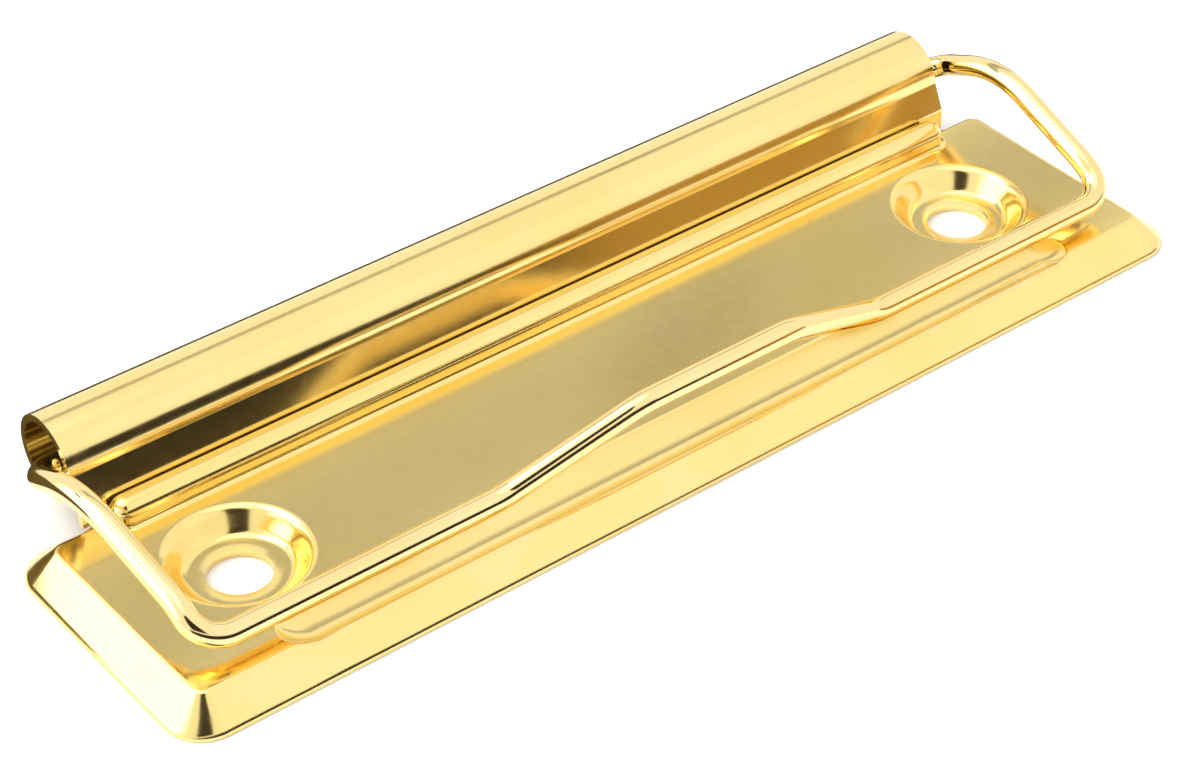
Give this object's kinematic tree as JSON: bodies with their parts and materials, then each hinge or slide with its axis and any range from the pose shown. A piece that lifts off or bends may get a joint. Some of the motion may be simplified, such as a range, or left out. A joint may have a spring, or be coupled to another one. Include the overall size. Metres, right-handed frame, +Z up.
{
  "type": "board clip",
  "caption": "Long pressed-metal board clip with a rolled lever and a sprung wire bail that holds sheets against a riveted base plate.",
  "frame": {"origin": "middle of the clip's overall box, at the height of the board that the plate lies on", "axes": "+X along the clip, +Y from the front edge of the plate to the rolled lever, +Z up from the board"},
  "size_m": [0.12, 0.0384, 0.0122],
  "materials": {
    "base_plate": "polished gold plate",
    "lever": "polished gold plate",
    "bail_wire": "polished gold plate"
  },
  "bodies": {
    "base": {"base_plate": "base_plate"},
    "lever": {"lever": "lever"},
    "bail": {"bail_wire": "bail_wire"}
  },
  "joints": [
    {"name": "lever_hinge", "type": "hinge", "parent": "base", "child": "lever", "pos_m": [0, 0.00725, 0.0029], "axis": [-1, 0, 0], "range_deg": [0, 17], "stiffness_Nm_per_rad": 0.2, "springref_deg": -8.59},
    {"name": "bail_pivot", "type": "hinge", "parent": "lever", "child": "bail", "pos_m": [0, 0.01271, 0.00794], "axis": [-1, 0, 0], "range_deg": [0, 70], "stiffness_Nm_per_rad": 0.05, "springref_deg": -17.19}
  ]
}
